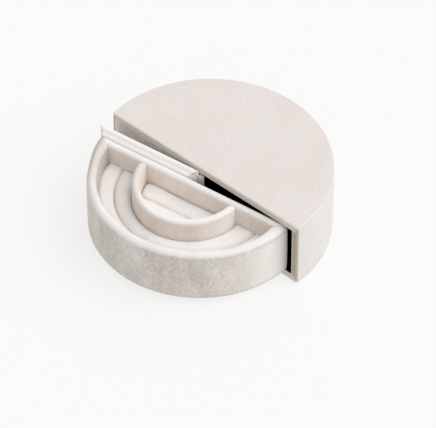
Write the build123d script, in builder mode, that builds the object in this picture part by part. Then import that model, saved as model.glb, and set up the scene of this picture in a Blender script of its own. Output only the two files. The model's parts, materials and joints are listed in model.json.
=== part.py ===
from build123d import *
from math import atan, cos, degrees, pi, radians, sin, sqrt
import os

# A half-round velvet ring box. The housing is a flat half drum that lies on its base. Its front is
# closed on the left by a fixed panel and open on the right. A half-round ring tray swings in and
# out of it on an upright cloth hinge at the middle of the front. A padded cover board on the back
# of the tray closes the open half when the tray is in.
# Millimetres. The origin is the centre of the drum on the surface it stands on, +Y points to the
# curved back and +Z up. The tray stands swung out, a little short of its outer stop.

os.makedirs("parts", exist_ok=True)

# ---------------------------------------------------------------- driving dimensions
# Housing
housing_radius = 60.0
housing_height = 38.6
front_y = -5.0              # the flat front, a little in front of the drum's centre
board = 2.6                 # grey board of the panels and the curved wall
velvet = 0.8                # cloth and pile on the outside
lining = 0.6                # dark lining of the cavity
turn_down = 2.2             # top and base velvet turned over the front edges as far as this
edge_round = 0.6            # softness of the cloth on the panel edges
front_board_thickness = 1.0
front_velvet_thickness = 0.7

# Cloth hinge
hinge_x = -1.6              # place of the upright hinge axis along the front
hinge_cloth = 0.6
hinge_bead_radius = 0.35    # the fold of the cloth, on the axis
hinge_gap = 0.4             # room between the fold and the moving half of the cloth
hinge_margin = 0.8          # the fixed panel ends this far left of the axis
swing_at_rest = 7.2         # degrees that the tray stands short of parallel with the front

# Cover board on the back of the tray
cover_plate = 1.8           # board and velvet in front of the mouth
cover_overlap = 1.7         # it laps the top and base panels and the end of the mouth by this much
cover_pad = 2.3             # padding that enters the mouth
cover_rim = 0.4             # upright edge of the plate before its slope starts
cover_slope_depth = 1.7
cover_hinge_space = 1.0     # the cover starts this far from the axis

# Tray
tray_centre_u = -1.4        # centre of the round wall, measured from the hinge along the flat side
tray_centre_v = 2.0         # and across it, towards the cover
wall = 4.8                  # padded outer wall
back_wall = 3.8             # padded straight wall
ring_wall = 3.9             # padded half ring around the middle compartment
skin = 0.8                  # velvet over the walls and rolls
tray_board = 2.0            # floor of the tray
corner_round = 2.0          # back corners of the round wall, seen from above
ring_radius = 28.0
ring_centre_u = -2.3
ring_centre_v = -5.5
roll_drop = 11.3            # the rolls' crests lie this far below the tops of the walls
roll_round = 2.6            # shoulders of the ring rolls
roll_corner = 3.0           # corners of the middle rolls, seen from above
middle_slot_share = 10.0    # depth of the straight roll that lies along the back wall

# Fits
swing_gap = 0.3             # anything that moves past the housing stays this far off
tray_side_gap = 0.8         # round wall to cavity wall
tray_floor_gap = 0.4        # tray to cavity floor
tray_top_gap = 0.7          # tray walls to cavity ceiling
mouth_gap = 0.45            # the cover's pad to the edges of the mouth, when it is closed
roll_gap = 0.15             # a roll to the wall beside it
slot_gap = 0.25             # half the slot between two rolls, at its narrowest
seam_gap = 0.1              # one piece of velvet to the next along a seam
panel_gap = 0.3             # fixed panel to the edge of the opening

# ---------------------------------------------------------------- derived sizes
panel = velvet + board + lining
cavity_radius = housing_radius - panel
cavity_floor = panel
cavity_ceiling = housing_height - panel
mouth_half_width = sqrt(cavity_radius**2 - front_y**2)
board_radius = housing_radius - velvet
board_front = front_y + velvet

hinge_y = front_y - swing_gap - cover_plate / 2
tray_plane = Plane(
    origin=(hinge_x, hinge_y, 0),
    x_dir=(cos(radians(swing_at_rest)), sin(radians(swing_at_rest)), 0),
    z_dir=(0, 0, 1),
)

cover_outer_v = cover_plate / 2
tray_back_v = -cover_plate / 2 - cover_pad
tray_radius = cavity_radius - tray_side_gap
tray_floor = cavity_floor + tray_floor_gap
tray_top = cavity_ceiling - tray_top_gap
tray_base_top = tray_floor + skin + tray_board
wall_inner_radius = tray_radius - wall
back_inner_v = tray_back_v - back_wall
ring_inner_radius = ring_radius - ring_wall
roll_crest = tray_top - roll_drop
middle_slot_v = back_inner_v - middle_slot_share

# The curved slot runs half way between the half ring and the round wall.
slot_radius = (ring_radius + wall_inner_radius) / 2
slot_centre_u = (ring_centre_u + tray_centre_u) / 2
slot_centre_v = (ring_centre_v + tray_centre_v) / 2

cover_top = cavity_ceiling + cover_overlap
cover_bottom = cavity_floor - cover_overlap
cover_inset = cover_overlap + mouth_gap
cover_length = mouth_half_width - hinge_x + cover_overlap   # from the hinge axis to its tip


# ---------------------------------------------------------------- shared outlines
def save(piece, name):
    """Label a finished piece and write it to its own file."""
    piece.part.label = name
    export_step(piece.part, f"parts/{name}.step")


def half_round(centre, radius, flat, side, mode=Mode.ADD):
    """Add the part of a circle above (side 1) or below (side -1) the line y = flat to a sketch."""
    x, y = centre
    half_chord = sqrt(radius**2 - (flat - y) ** 2)
    with BuildLine() as outline:
        ThreePointArc((x - half_chord, flat), (x, y + side * radius), (x + half_chord, flat))
        Line((x + half_chord, flat), (x - half_chord, flat))
    make_face(outline.edges(), mode=mode)


def drum(radius, front, mode=Mode.ADD):
    """Add the housing's half drum of one radius and front line to a sketch."""
    half_round((0, 0), radius, front, 1, mode)


def tray_round(radius, flat, mode=Mode.ADD):
    """Add a half round about the tray's centre, below one line across the tray."""
    half_round((tray_centre_u, tray_centre_v), radius, flat, -1, mode)


def ring_round(radius, flat, mode=Mode.ADD):
    """Add a half round about the centre of the tray's middle compartment."""
    half_round((ring_centre_u, ring_centre_v), radius, flat, -1, mode)


def slot_round(radius, flat, mode=Mode.ADD):
    """Add a half round about the centre of the curved slot."""
    half_round((slot_centre_u, slot_centre_v), radius, flat, -1, mode)


def box(x_low, x_high, y_low, y_high, mode=Mode.ADD):
    """Add an upright rectangle, given by its edges, to a sketch."""
    centre = ((x_low + x_high) / 2, (y_low + y_high) / 2)
    with Locations(centre):
        Rectangle(x_high - x_low, y_high - y_low, mode=mode)


# ---------------------------------------------------------------- soft edges
rim_bands = 2               # how many bands make the round of a velvet rim
core_bands = 1              # the board or foam under it is only bevelled


def bevel(radius):
    """Length of the 45-degree chamfer that touches a round of this radius."""
    return (2 - sqrt(2)) * radius


def top_edges(piece):
    """Edges of the highest flat face of a piece."""
    return piece.faces().sort_by(Axis.Z)[-1].edges()


def rim_steps(set_in, high, radius, bands):
    """Inset and height of each edge of a rim's bands: points on a quarter circle up to its top."""
    turns = [pi / 2 * step / bands for step in range(bands + 1)]
    return [(set_in + radius * (1 - cos(turn)), high - radius * (1 - sin(turn))) for turn in turns]


def crowned(outline, set_in, low, high, radius, bands):
    """Raise one of the tray's outlines and round its rim in ruled bands, each from one inset of
    the outline to the next. Ends that the outline keeps in place stay upright."""
    steps = rim_steps(set_in, high, radius, bands)
    with BuildPart() as body:
        with BuildSketch(tray_plane.offset(low)):
            outline(set_in)
        extrude(amount=steps[0][1] - low)
        for (inset, height), (next_inset, next_height) in zip(steps, steps[1:]):
            with BuildSketch(tray_plane.offset(height)):
                outline(inset)
            with BuildSketch(tray_plane.offset(next_height)):
                outline(next_inset)
            loft(ruled=True)
    return body


def cushion(outline, set_in, high, radius, bands):
    """Like crowned, for a middle roll, whose corners are round as seen from above too. Each band
    is a tapered extrusion, which draws in the round corners along with the sides."""
    steps = rim_steps(set_in, high, radius, bands)
    with BuildPart() as body:
        with BuildSketch(tray_plane.offset(tray_base_top)) as foot:
            outline(set_in)
            fillet(foot.vertices(), roll_corner - set_in)
        extrude(amount=steps[0][1] - tray_base_top)
        for (inset, height), (next_inset, next_height) in zip(steps, steps[1:]):
            rise = next_height - height
            with BuildSketch(tray_plane.offset(height)) as foot:
                outline(inset)
                fillet(foot.vertices(), roll_corner - inset)
            extrude(amount=rise, taper=degrees(atan((next_inset - inset) / rise)))
    return body


# ---------------------------------------------------------------- housing: boards
with BuildPart() as base_board:
    with BuildSketch(Plane.XY.offset(velvet)):
        drum(board_radius, board_front)
    extrude(amount=board)
save(base_board, "base_board")

with BuildPart() as top_board:
    with BuildSketch(Plane.XY.offset(cavity_ceiling + lining)):
        drum(board_radius, board_front)
    extrude(amount=board)
save(top_board, "top_board")

# The curved wall stands between the two panels and reaches forward to the front.
with BuildPart() as side_board:
    with BuildSketch(Plane.XY.offset(velvet + board)):
        drum(board_radius, board_front)
        drum(board_radius - board, board_front, Mode.SUBTRACT)
    extrude(amount=housing_height - 2 * (velvet + board))
save(side_board, "side_board")

# The fixed panel closes the left half of the front.
front_panel_left = -mouth_half_width + panel_gap
front_panel_right = hinge_x - hinge_margin
front_board_back = front_y + front_velvet_thickness + front_board_thickness

with BuildPart() as front_board:
    with BuildSketch(Plane.XY.offset(cavity_floor)):
        box(front_panel_left, front_panel_right, front_y + front_velvet_thickness, front_board_back)
    extrude(amount=cavity_ceiling - cavity_floor)
save(front_board, "front_board")

# ---------------------------------------------------------------- housing: lining of the cavity
with BuildPart() as lining_base:
    with BuildSketch(Plane.XY.offset(velvet + board)):
        drum(board_radius - board, board_front)
    extrude(amount=lining)
save(lining_base, "lining_base")

with BuildPart() as lining_top:
    with BuildSketch(Plane.XY.offset(cavity_ceiling)):
        drum(board_radius - board, board_front)
    extrude(amount=lining)
save(lining_top, "lining_top")

with BuildPart() as lining_side:
    with BuildSketch(Plane.XY.offset(cavity_floor)):
        drum(board_radius - board, board_front)
        drum(cavity_radius, board_front, Mode.SUBTRACT)
    extrude(amount=cavity_ceiling - cavity_floor)
save(lining_side, "lining_side")


# ---------------------------------------------------------------- housing: velvet
def panel_velvet(low, high, outer_axis, sheet_low):
    """Cover a panel: a sheet over its flat face, turned over its front edge, soft at the rim."""
    with BuildPart() as cloth:
        with BuildSketch(Plane.XY.offset(low)):
            drum(housing_radius, front_y)
        extrude(amount=high - low)
        chamfer(cloth.faces().sort_by(outer_axis)[-1].edges(), bevel(edge_round))
        with BuildSketch(Plane.XY.offset(sheet_low)):
            drum(housing_radius + board, board_front)
        extrude(amount=turn_down - velvet, mode=Mode.SUBTRACT)
    return cloth


down = Axis((0, 0, 0), (0, 0, -1))
base_velvet = panel_velvet(0, turn_down, down, velvet)
save(base_velvet, "base_velvet")

top_velvet = panel_velvet(housing_height - turn_down, housing_height, Axis.Z, housing_height - turn_down)
save(top_velvet, "top_velvet")

# A bound edge frames the whole mouth, and meets the other velvet in a seam half way across the edges.
binding_width = panel - turn_down

with BuildPart() as mouth_binding:
    with BuildSketch(Plane(origin=(0, board_front, 0), x_dir=(1, 0, 0), z_dir=(0, -1, 0))):
        bound = mouth_half_width + binding_width
        box(-bound, bound, turn_down, housing_height - turn_down)
        box(-mouth_half_width, mouth_half_width, cavity_floor, cavity_ceiling, Mode.SUBTRACT)
    extrude(amount=velvet)
save(mouth_binding, "mouth_binding")

# The side velvet runs round the curved wall and turns in over its two front ends.
with BuildPart() as side_velvet:
    with BuildSketch(Plane.XY.offset(velvet)):
        drum(housing_radius, front_y)
        drum(board_radius, board_front, Mode.SUBTRACT)
        box(-bound, bound, front_y, board_front, Mode.SUBTRACT)
    extrude(amount=housing_height - 2 * velvet)
    add(base_velvet.part, mode=Mode.SUBTRACT)
    add(top_velvet.part, mode=Mode.SUBTRACT)
save(side_velvet, "side_velvet")

with BuildPart() as front_velvet:
    with BuildSketch(Plane.XY.offset(cavity_floor)):
        box(front_panel_left, front_panel_right, front_y, front_y + front_velvet_thickness)
    extrude(amount=cavity_ceiling - cavity_floor)
    fillet(front_velvet.faces().sort_by(Axis.Y)[0].edges(), edge_round)
save(front_velvet, "front_velvet")

# ---------------------------------------------------------------- cloth hinge
# The fixed half is glued to the end of the fixed panel and ends in the fold, on the axis.
hinge_bottom = cavity_floor + panel_gap
hinge_height = cavity_ceiling - cavity_floor - 2 * panel_gap
hinge_foot_front = front_y + hinge_gap

with BuildPart() as hinge_fixed_cloth:
    with BuildSketch(Plane.XY.offset(hinge_bottom)):
        box(front_panel_right, front_panel_right + hinge_cloth, hinge_foot_front, front_board_back)
        with BuildLine():
            Line(
                (hinge_x, hinge_y),
                (front_panel_right + hinge_cloth / 2, hinge_foot_front + hinge_cloth / 2),
            )
        trace(line_width=hinge_cloth)
        with Locations((hinge_x, hinge_y)):
            Circle(hinge_bead_radius)
    extrude(amount=hinge_height)
save(hinge_fixed_cloth, "hinge_fixed_cloth")

# The moving half is let into the end of the cover board.
hinge_leaf_end = hinge_bead_radius + hinge_gap
hinge_leaf_length = 4 * cover_hinge_space

with BuildPart() as hinge_moving_cloth:
    with BuildSketch(tray_plane.offset(hinge_bottom)):
        box(-hinge_leaf_end - hinge_leaf_length, -hinge_leaf_end, -hinge_cloth / 2, hinge_cloth / 2)
    extrude(amount=hinge_height)
save(hinge_moving_cloth, "hinge_moving_cloth")


# ---------------------------------------------------------------- cover board
def cover_plane(v):
    """Upright plane across the tray at v, its normal towards the tray."""
    return Plane(
        origin=tray_plane.from_local_coords(Vector(0, v, 0)),
        x_dir=tray_plane.x_dir,
        z_dir=-tray_plane.y_dir,
    )


def cover_face(inset):
    """Add the cover's rectangle, drawn in by one amount all round, to a sketch."""
    box(
        -cover_length + inset,
        -cover_hinge_space - inset,
        cover_bottom + inset,
        cover_top - inset,
    )


cover_slope = degrees(atan(cover_inset / cover_slope_depth))
cover_board_thickness = cover_plate - skin

with BuildPart() as cover_board:
    with BuildSketch(cover_plane(cover_outer_v - skin)):
        cover_face(skin)
    extrude(amount=cover_board_thickness, taper=cover_slope)
    add(hinge_moving_cloth.part, mode=Mode.SUBTRACT)
save(cover_board, "cover_board")

# Foam between the board and the tray, set in so that it enters the mouth.
with BuildPart() as cover_foam:
    with BuildSketch(cover_plane(-cover_plate / 2)):
        cover_face(cover_inset + skin)
    extrude(amount=cover_pad)
save(cover_foam, "cover_foam")

# One skin wraps the board and the foam: upright rim, slope, then the inner pad.
with BuildPart() as cover_velvet:
    with BuildSketch(cover_plane(cover_outer_v)):
        cover_face(0)
    extrude(amount=cover_rim)
    with BuildSketch(cover_plane(cover_outer_v - cover_rim)):
        cover_face(0)
    extrude(amount=cover_slope_depth, taper=cover_slope)
    with BuildSketch(cover_plane(cover_outer_v - cover_rim - cover_slope_depth)):
        cover_face(cover_inset)
    extrude(amount=cover_plate + cover_pad - cover_rim - cover_slope_depth)
    add(cover_board.part, mode=Mode.SUBTRACT)
    add(cover_foam.part, mode=Mode.SUBTRACT)
    add(hinge_moving_cloth.part, mode=Mode.SUBTRACT)
save(cover_velvet, "cover_velvet")

# ---------------------------------------------------------------- tray: floor
with BuildPart() as tray_base_board:
    with BuildSketch(tray_plane.offset(tray_floor + skin)):
        tray_round(tray_radius - skin, tray_back_v - skin)
    extrude(amount=tray_board)
save(tray_base_board, "tray_base_board")

# The wall velvet is turned under the floor, and this sheet lies inside the turned edge.
with BuildPart() as tray_base_velvet:
    with BuildSketch(tray_plane.offset(tray_floor)):
        tray_round(wall_inner_radius - seam_gap, back_inner_v - seam_gap)
    extrude(amount=skin)
save(tray_base_velvet, "tray_base_velvet")


# ---------------------------------------------------------------- tray: padded walls
def crown(thickness):
    """Radius that rounds the top of a padded wall almost into a half circle."""
    return thickness / 2 - roll_gap


def outer_wall_outline(inset):
    """Add the round wall's strip, drawn in on both sides and at its ends, to a sketch."""
    tray_round(tray_radius - inset, tray_back_v - inset)
    tray_round(wall_inner_radius + inset, tray_back_v - inset, Mode.SUBTRACT)


def soft_wall_outline(inset):
    """The same strip with round back corners, which get tighter as the outline is drawn in."""
    with BuildSketch(mode=Mode.PRIVATE) as disc:
        tray_round(tray_radius - inset, tray_back_v - inset)
        fillet(disc.vertices(), corner_round * (1 - 2 * inset / wall))
    add(disc.sketch_local)
    tray_round(wall_inner_radius + inset, tray_back_v - inset, Mode.SUBTRACT)


def back_wall_outline(inset):
    """Add the straight wall's strip, which ends on the inside of the round wall, to a sketch."""
    tray_round(wall_inner_radius - seam_gap - inset, tray_back_v - inset)
    tray_round(wall_inner_radius + wall, back_inner_v + inset, Mode.SUBTRACT)


def ring_wall_outline(inset):
    """Add the half ring's strip, which butts against the straight wall, to a sketch."""
    ring_round(ring_radius - inset, back_inner_v)
    ring_round(ring_inner_radius + inset, back_inner_v, Mode.SUBTRACT)


core_top = tray_top - skin
wall_crown = crown(wall)
ring_crown = crown(ring_wall)

with BuildPart() as outer_wall_board:
    add(crowned(outer_wall_outline, skin, tray_base_top, core_top, wall_crown - skin, core_bands).part)
save(outer_wall_board, "outer_wall_board")

with BuildPart() as outer_wall_velvet:
    add(crowned(soft_wall_outline, 0, tray_floor, tray_top, wall_crown, rim_bands).part)
    add(tray_base_board.part, mode=Mode.SUBTRACT)
    add(outer_wall_board.part, mode=Mode.SUBTRACT)
save(outer_wall_velvet, "outer_wall_velvet")

with BuildPart() as back_wall_board:
    with BuildSketch(tray_plane.offset(tray_base_top)):
        back_wall_outline(skin)
    extrude(amount=core_top - tray_base_top)
    chamfer(top_edges(back_wall_board).filter_by(GeomType.LINE), bevel(crown(back_wall) - skin))
save(back_wall_board, "back_wall_board")

with BuildPart() as back_wall_velvet:
    with BuildSketch(tray_plane.offset(tray_floor)):
        back_wall_outline(0)
    extrude(amount=tray_top - tray_floor)
    fillet(top_edges(back_wall_velvet).filter_by(GeomType.LINE), crown(back_wall))
    add(tray_base_board.part, mode=Mode.SUBTRACT)
    add(back_wall_board.part, mode=Mode.SUBTRACT)
save(back_wall_velvet, "back_wall_velvet")

with BuildPart() as ring_wall_board:
    add(crowned(ring_wall_outline, skin, tray_base_top, core_top, ring_crown - skin, core_bands).part)
save(ring_wall_board, "ring_wall_board")

with BuildPart() as ring_wall_velvet:
    add(crowned(ring_wall_outline, 0, tray_base_top, tray_top, ring_crown, rim_bands).part)
    add(ring_wall_board.part, mode=Mode.SUBTRACT)
save(ring_wall_velvet, "ring_wall_velvet")


# ---------------------------------------------------------------- tray: ring rolls
def outer_roll_outline(inset):
    """Add the strip between the curved slot and the round wall to a sketch."""
    tray_round(wall_inner_radius - roll_gap - inset, back_inner_v)
    slot_round(slot_radius + slot_gap + inset, back_inner_v, Mode.SUBTRACT)


def inner_roll_outline(inset):
    """Add the strip between the half ring and the curved slot to a sketch."""
    slot_round(slot_radius - slot_gap - inset, back_inner_v)
    ring_round(ring_radius + roll_gap + inset, back_inner_v, Mode.SUBTRACT)


def middle_back_outline(inset):
    """Add the straight roll along the back wall, inside the half ring, to a sketch."""
    ring_round(ring_inner_radius - roll_gap - inset, back_inner_v - roll_gap - inset)
    ring_round(ring_radius, middle_slot_v + slot_gap + inset, Mode.SUBTRACT)


def middle_front_outline(inset):
    """Add the roll in the round front of the middle compartment to a sketch."""
    ring_round(ring_inner_radius - roll_gap - inset, middle_slot_v - slot_gap - inset)


core_crest = roll_crest - skin
core_round = roll_round - skin

# The curved rolls butt against the back wall with square ends.
for roll_name, roll_outline in [("outer_roll", outer_roll_outline), ("inner_roll", inner_roll_outline)]:
    with BuildPart() as foam:
        add(crowned(roll_outline, skin, tray_base_top, core_crest, core_round, core_bands).part)
    save(foam, f"{roll_name}_foam")
    with BuildPart() as roll_velvet:
        add(crowned(roll_outline, 0, tray_base_top, roll_crest, roll_round, rim_bands).part)
        add(foam.part, mode=Mode.SUBTRACT)
    save(roll_velvet, f"{roll_name}_velvet")

# The middle rolls fill the half ring, with the straight slot between them.
middle_rolls = [("middle_back_roll", middle_back_outline), ("middle_front_roll", middle_front_outline)]
for roll_name, roll_outline in middle_rolls:
    with BuildPart() as foam:
        add(cushion(roll_outline, skin, core_crest, core_round, core_bands).part)
    save(foam, f"{roll_name}_foam")
    with BuildPart() as roll_velvet:
        add(cushion(roll_outline, 0, roll_crest, roll_round, rim_bands).part)
        add(foam.part, mode=Mode.SUBTRACT)
    save(roll_velvet, f"{roll_name}_velvet")
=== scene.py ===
# %% [markdown]
# # A half-round velvet ring box
# The box is a flat half drum covered in ivory velvet. A half-round tray of ring rolls swings out of
# it on an upright cloth hinge. The boards inside are the fixed frame that this script loads. What a
# person sees and touches is cloth, so nearly everything made here is cloth or padding.

# %% Load the frame
import json
import math

import bmesh
import bpy
import numpy as np
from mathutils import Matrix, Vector


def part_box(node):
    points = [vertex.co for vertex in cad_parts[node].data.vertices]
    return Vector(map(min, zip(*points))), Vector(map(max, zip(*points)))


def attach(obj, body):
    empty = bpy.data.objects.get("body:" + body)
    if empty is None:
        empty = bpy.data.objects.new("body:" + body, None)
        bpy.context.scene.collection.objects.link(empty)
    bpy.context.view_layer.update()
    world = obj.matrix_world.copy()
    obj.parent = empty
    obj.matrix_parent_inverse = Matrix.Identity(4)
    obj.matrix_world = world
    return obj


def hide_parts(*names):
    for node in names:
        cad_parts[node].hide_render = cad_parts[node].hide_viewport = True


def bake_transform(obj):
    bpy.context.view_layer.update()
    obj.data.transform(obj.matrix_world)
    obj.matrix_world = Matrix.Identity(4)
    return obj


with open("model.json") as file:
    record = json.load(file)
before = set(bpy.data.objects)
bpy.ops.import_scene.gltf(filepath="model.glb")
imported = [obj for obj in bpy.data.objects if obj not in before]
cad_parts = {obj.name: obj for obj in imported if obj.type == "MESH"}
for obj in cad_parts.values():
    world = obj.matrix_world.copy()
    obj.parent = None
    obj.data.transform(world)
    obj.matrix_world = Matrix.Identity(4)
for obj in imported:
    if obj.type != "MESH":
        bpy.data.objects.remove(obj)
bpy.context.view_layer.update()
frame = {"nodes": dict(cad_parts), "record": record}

mm = 0.001

# %% [markdown]
# ## Measuring the frame
# The sizes of the cloth pieces come from the boards and pads that they cover. The housing lies
# square to the axes, so its sizes can be read straight from its corners. The tray stands swung out
# by a few degrees, so its nodes are first turned back into the tray's own directions: u along its
# flat back, v towards the cover board, z up, all measured from the hinge.

# %% Housing sizes
_, drum_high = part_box("side_velvet")
panel_low, panel_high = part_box("top_velvet")
drum_radius = round(drum_high[0], 4)
front = round(panel_low[1], 4)
height = round(panel_high[2], 4)
turn_down = round(panel_high[2] - panel_low[2], 4)
lining_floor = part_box("lining_base")[1][2]
lining_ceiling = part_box("lining_top")[0][2]
print("drum radius, front and height:", drum_radius, front, height)

# %% Tray sizes
hinge = frame["record"]["behaviour"]["joints"][0]["pos_m"]
swing = math.radians(7.2)
tray_centre = np.array([-1.4, 2.0]) * mm
ring_centre = np.array([-2.3, -5.5]) * mm
wall = 4.8 * mm
ring_wall = 3.9 * mm
skin = 0.8 * mm


def to_world(points):
    """Turn tray points (u, v, z) by the swing angle about the hinge into the frame's x, y, z."""
    u, v, z = points[..., 0], points[..., 1], points[..., 2]
    x = hinge[0] + u * math.cos(swing) - v * math.sin(swing)
    y = hinge[1] + u * math.sin(swing) + v * math.cos(swing)
    return np.stack([x, y, z], axis=-1)


def in_tray(node):
    """Lowest and highest u, v and z of a CAD node: its corners turned back by the swing angle."""
    mesh = frame["nodes"][node].data
    xyz = np.empty(len(mesh.vertices) * 3)
    mesh.vertices.foreach_get("co", xyz)
    x, y, z = xyz.reshape(-1, 3).T
    x = x - hinge[0]
    y = y - hinge[1]
    u = x * math.cos(swing) + y * math.sin(swing)
    v = y * math.cos(swing) - x * math.sin(swing)
    uvz = np.stack([u, v, z], axis=-1)
    return np.round(uvz.min(axis=0), 4), np.round(uvz.max(axis=0), 4)


wall_low, wall_high = in_tray("outer_wall_velvet")
back_low, _ = in_tray("back_wall_velvet")
cover_low, cover_high = in_tray("cover_velvet")
ring_low, _ = in_tray("ring_wall_velvet")
tray_back = wall_high[1]
tray_floor = wall_low[2]
tray_top = wall_high[2]
back_inner = back_low[1]
tray_radius = tray_centre[1] - wall_low[1]
ring_radius = ring_centre[1] - ring_low[1]
floor_top = ring_low[2]
roll_crest = in_tray("outer_roll_velvet")[1][2]
cad_half_slot = 0.25 * mm
middle_slot = in_tray("middle_back_roll_velvet")[0][1] - cad_half_slot
slot_centre = (ring_centre + tray_centre) / 2
slot_radius = (ring_radius + tray_radius - wall) / 2
print("tray radius and ring radius:", tray_radius, ring_radius)
print("floor, crest and top:", floor_top, roll_crest, tray_top)

# %% [markdown]
# ## Surfaces from grids
# Every cloth piece is a grid of points worked out with numpy. A row is a section across the piece
# and the columns run round that section, so a closed column loop makes a tube. Squeezing the first
# and last row to one point closes the ends. Doubles are merged and the normals turned outwards, so
# that each mesh is a closed skin.


# %% Grid to mesh
def cloth(name, grid, material, closed=True, nap=None):
    """Make an object from a (rows, columns, 3) grid of points; quads join neighbours, and closed
    joins the last column back to the first. nap gives each point its painted shade and
    painted light, and darker bands and seams, -1 to 1."""
    rows, cols, _ = grid.shape
    index = np.arange(rows * cols).reshape(rows, cols)
    if closed:
        index = np.concatenate([index, index[:, :1]], axis=1)
    a, b = index[:-1, :-1], index[:-1, 1:]
    c, d = index[1:, 1:], index[1:, :-1]
    quads = np.stack([a, b, c, d], axis=-1).reshape(-1, 4)
    mesh = bpy.data.meshes.new(name)
    mesh.from_pydata(grid.reshape(-1, 3).tolist(), [], quads.tolist())
    if nap is not None:
        lie_and_shade = mesh.attributes.new("nap", "FLOAT", "POINT")
        values = np.broadcast_to(nap, (rows, cols)).astype(np.float32)
        lie_and_shade.data.foreach_set("value", values.ravel())
    return finish_mesh(name, mesh, material)


same_point = 0.002 * mm


def finish_mesh(name, mesh, material):
    """Merge doubles, turn the faces outwards, shade smooth and link the mesh as a named object."""
    work = bmesh.new()
    work.from_mesh(mesh)
    bmesh.ops.remove_doubles(work, verts=work.verts, dist=same_point)
    bmesh.ops.recalc_face_normals(work, faces=work.faces)
    work.to_mesh(mesh)
    work.free()
    mesh.polygons.foreach_set("use_smooth", np.ones(len(mesh.polygons), dtype=bool))
    mesh.materials.append(material)
    piece = bpy.data.objects.new(name, mesh)
    bpy.context.scene.collection.objects.link(piece)
    return piece


def pole(section):
    """A row that squeezes a whole section to its middle, which closes that end."""
    return np.repeat(section.mean(axis=0, keepdims=True), len(section), axis=0)


def with_ends(grid):
    """Close both ends of a grid with a pole row."""
    return np.concatenate([pole(grid[0])[None], grid, pole(grid[-1])[None]], axis=0)


def rise(start, end, value):
    """Smooth step: 0 before start, 1 after end, 3 t^2 - 2 t^3 between them."""
    t = np.clip((value - start) / (end - start), 0, 1)
    return t * t * (3 - 2 * t)


# %% [markdown]
# ## Velvet
# Velvet is a short dense pile. Seen along its fibres it is dark, and at a glancing angle it glows,
# which is what the sheen of the shader does. Where a hand has brushed it, the pile lies another way
# and the tone changes in soft patches. One node group makes those patches, a finer mottle and the
# single fibres, and each velvet in the box uses it with its own strengths.


# %% Node group for the pile
def new_group(name, inputs, outputs):
    """An empty shader node group with named float inputs and named outputs."""
    group = bpy.data.node_groups.new(name, "ShaderNodeTree")
    for label, value in inputs:
        socket = group.interface.new_socket(label, in_out="INPUT", socket_type="NodeSocketFloat")
        socket.default_value = value
    for label in outputs:
        group.interface.new_socket(label, in_out="OUTPUT", socket_type="NodeSocketFloat")
    return group, group.nodes.new("NodeGroupInput"), group.nodes.new("NodeGroupOutput")


def velvet_group():
    """Tone of the pile: brushed patches, mottle and fibres, each times its strength, about 0.5.
    Height: mottle and fibres, for the bump. Shade Below: 1 below the height Low and 0 above High,
    the mask of painted shade in slots and on the faces below a rim."""
    group, given, made = new_group(
        "velvet pile",
        [
            ("Patch", 0.5),
            ("Mottle", 0.3),
            ("Fibre", 0.2),
            ("Patch Scale", 60.0),
            ("Low", 0.0),
            ("High", 0.001),
        ],
        ["Tone", "Height", "Shade Below"],
    )
    nodes, links = group.nodes, group.links
    place = nodes.new("ShaderNodeTexCoord")

    def noise(scale, detail, stretch=(1.0, 1.0, 1.0), roughness=0.5):
        """A noise on object coordinates, about 0, its scale per metre, stretched along z if asked."""
        texture = nodes.new("ShaderNodeTexNoise")
        texture.inputs["Scale"].default_value = scale
        texture.inputs["Detail"].default_value = detail
        texture.inputs["Roughness"].default_value = roughness
        mapping = nodes.new("ShaderNodeMapping")
        mapping.inputs["Scale"].default_value = stretch
        links.new(place.outputs["Object"], mapping.inputs["Vector"])
        links.new(mapping.outputs["Vector"], texture.inputs["Vector"])
        return texture, maths("SUBTRACT", texture.outputs["Fac"], 0.5)

    def maths(operation, first, second):
        """One math node; each operand is a socket or a number."""
        node = nodes.new("ShaderNodeMath")
        node.operation = operation
        for socket, value in zip(node.inputs, (first, second)):
            if isinstance(value, (int, float)):
                socket.default_value = value
            else:
                links.new(value, socket)
        return node.outputs[0]

    texture, patches = noise(60.0, 3.0, (1.0, 1.0, 0.4), 0.6)
    links.new(given.outputs["Patch Scale"], texture.inputs["Scale"])
    _, mottle = noise(900.0, 3.0, (1.0, 1.0, 0.5), 0.7)
    _, fibre = noise(2200.0, 2.0, (1.0, 1.0, 0.5), 0.6)
    tone = maths("MULTIPLY", patches, given.outputs["Patch"])
    tone = maths("ADD", tone, maths("MULTIPLY", mottle, given.outputs["Mottle"]))
    tone = maths("ADD", tone, maths("MULTIPLY", fibre, given.outputs["Fibre"]))
    links.new(maths("ADD", tone, 0.5), made.inputs["Tone"])
    links.new(maths("ADD", maths("MULTIPLY", mottle, 0.6), fibre), made.inputs["Height"])

    height = nodes.new("ShaderNodeSeparateXYZ")
    links.new(place.outputs["Object"], height.inputs["Vector"])
    shade_below = nodes.new("ShaderNodeMapRange")
    shade_below.interpolation_type = "SMOOTHSTEP"
    links.new(height.outputs["Z"], shade_below.inputs["Value"])
    links.new(given.outputs["Low"], shade_below.inputs["From Min"])
    links.new(given.outputs["High"], shade_below.inputs["From Max"])
    shade_below.inputs["To Min"].default_value = 1.0
    shade_below.inputs["To Max"].default_value = 0.0
    links.new(shade_below.outputs["Result"], made.inputs["Shade Below"])
    return group


velvet_pile = velvet_group()


# %% Ramps and mixes of colour
def two_tones(nodes, dark, light, low=0.25, high=0.75):
    """A colour ramp: dark up to the value low, light from the value high."""
    ramp = nodes.new("ShaderNodeValToRGB")
    for stop, position, tone in zip(ramp.color_ramp.elements, (low, high), (dark, light)):
        stop.position = position
        stop.color = (*tone, 1.0)
    return ramp


def mixed(tree, amount, colour, other, name):
    """A named mix: colour where amount is 0, the plain colour other where it is 1."""
    mix = tree.nodes.new("ShaderNodeMix")
    mix.name = name
    mix.data_type = "RGBA"
    mix.inputs[7].default_value = (*other, 1.0)
    tree.links.new(amount, mix.inputs[0])
    tree.links.new(colour, mix.inputs[6])
    return mix.outputs[2]


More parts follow.
